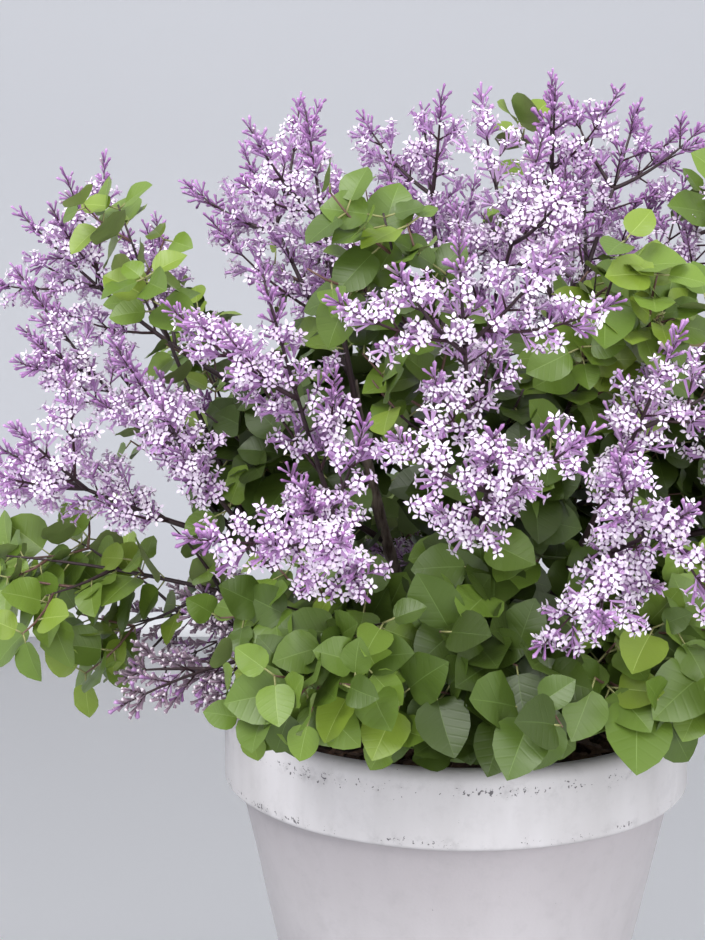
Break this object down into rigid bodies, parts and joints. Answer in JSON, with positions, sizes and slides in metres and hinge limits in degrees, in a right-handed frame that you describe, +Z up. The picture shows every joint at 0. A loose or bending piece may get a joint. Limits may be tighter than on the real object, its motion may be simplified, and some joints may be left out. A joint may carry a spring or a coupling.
{
  "type": "potted lilac bush",
  "caption": "Flowering dwarf lilac bush in a tapered whitewashed clay pot: a rounded open crown of small pointed oval leaves and upright lilac-pink flower clusters on slim boughs.",
  "frame": {"origin": "centre of the pot's flat underside, on the surface it stands on", "axes": "+Z up along the pot's axis, -Y towards the front of the bush, +X to its right as seen from the front"},
  "size_m": [0.5629, 0.5244, 0.6206],
  "materials": {
    "pot": "whitewashed clay, matt with a soft sheen on the lip",
    "soil": "moist bark and peat potting mix",
    "bark": "smooth grey-brown bark",
    "foliage": "soft green leaves with lilac-pink bloom"
  },
  "bodies": {
    "root": {"pot": "pot", "soil": "soil", "stem_foot": "bark", "bough_left": "bark", "bough_left_back": "bark", "bough_upper_left": "bark", "bough_front_left": "bark", "bough_front": "bark", "bough_front_right": "bark", "bough_top": "bark", "bough_top_right": "bark", "bough_right": "bark", "bough_back_right": "bark", "bough_back": "bark", "bough_back_left": "bark", "mass_far_left_top": "foliage", "mass_left_upper": "foliage", "mass_left_shoulder": "foliage", "mass_left_front_shoulder": "foliage", "mass_left_leaves": "foliage", "mass_left_arc": "foliage", "mass_low_left": "foliage", "mass_inner_left": "foliage", "mass_low_left_back": "foliage", "mass_upper_left": "foliage", "mass_centre_left_top": "foliage", "mass_front_left": "foliage", "mass_upper_front_left": "foliage", "mass_low_front_left": "foliage", "mass_front_leaves": "foliage", "mass_front_upper": "foliage", "mass_front_centre": "foliage", "mass_low_front": "foliage", "mass_inner_front": "foliage", "mass_front_right": "foliage", "mass_right_leaves": "foliage", "mass_right_lower": "foliage", "mass_low_right": "foliage", "mass_top_centre": "foliage", "mass_upper_right_front": "foliage", "mass_top_right_spire": "foliage", "mass_top_right": "foliage", "mass_right_leader": "foliage", "mass_inner_right": "foliage", "mass_right_front": "foliage", "mass_far_right_top": "foliage", "mass_far_right": "foliage", "mass_right_arc": "foliage", "mass_low_right_back": "foliage", "mass_back_right": "foliage", "mass_back_right_top": "foliage", "mass_inner_back": "foliage", "mass_back_centre": "foliage", "mass_back_left_top": "foliage", "mass_low_back": "foliage", "mass_back_left": "foliage"}
  },
  "joints": []
}
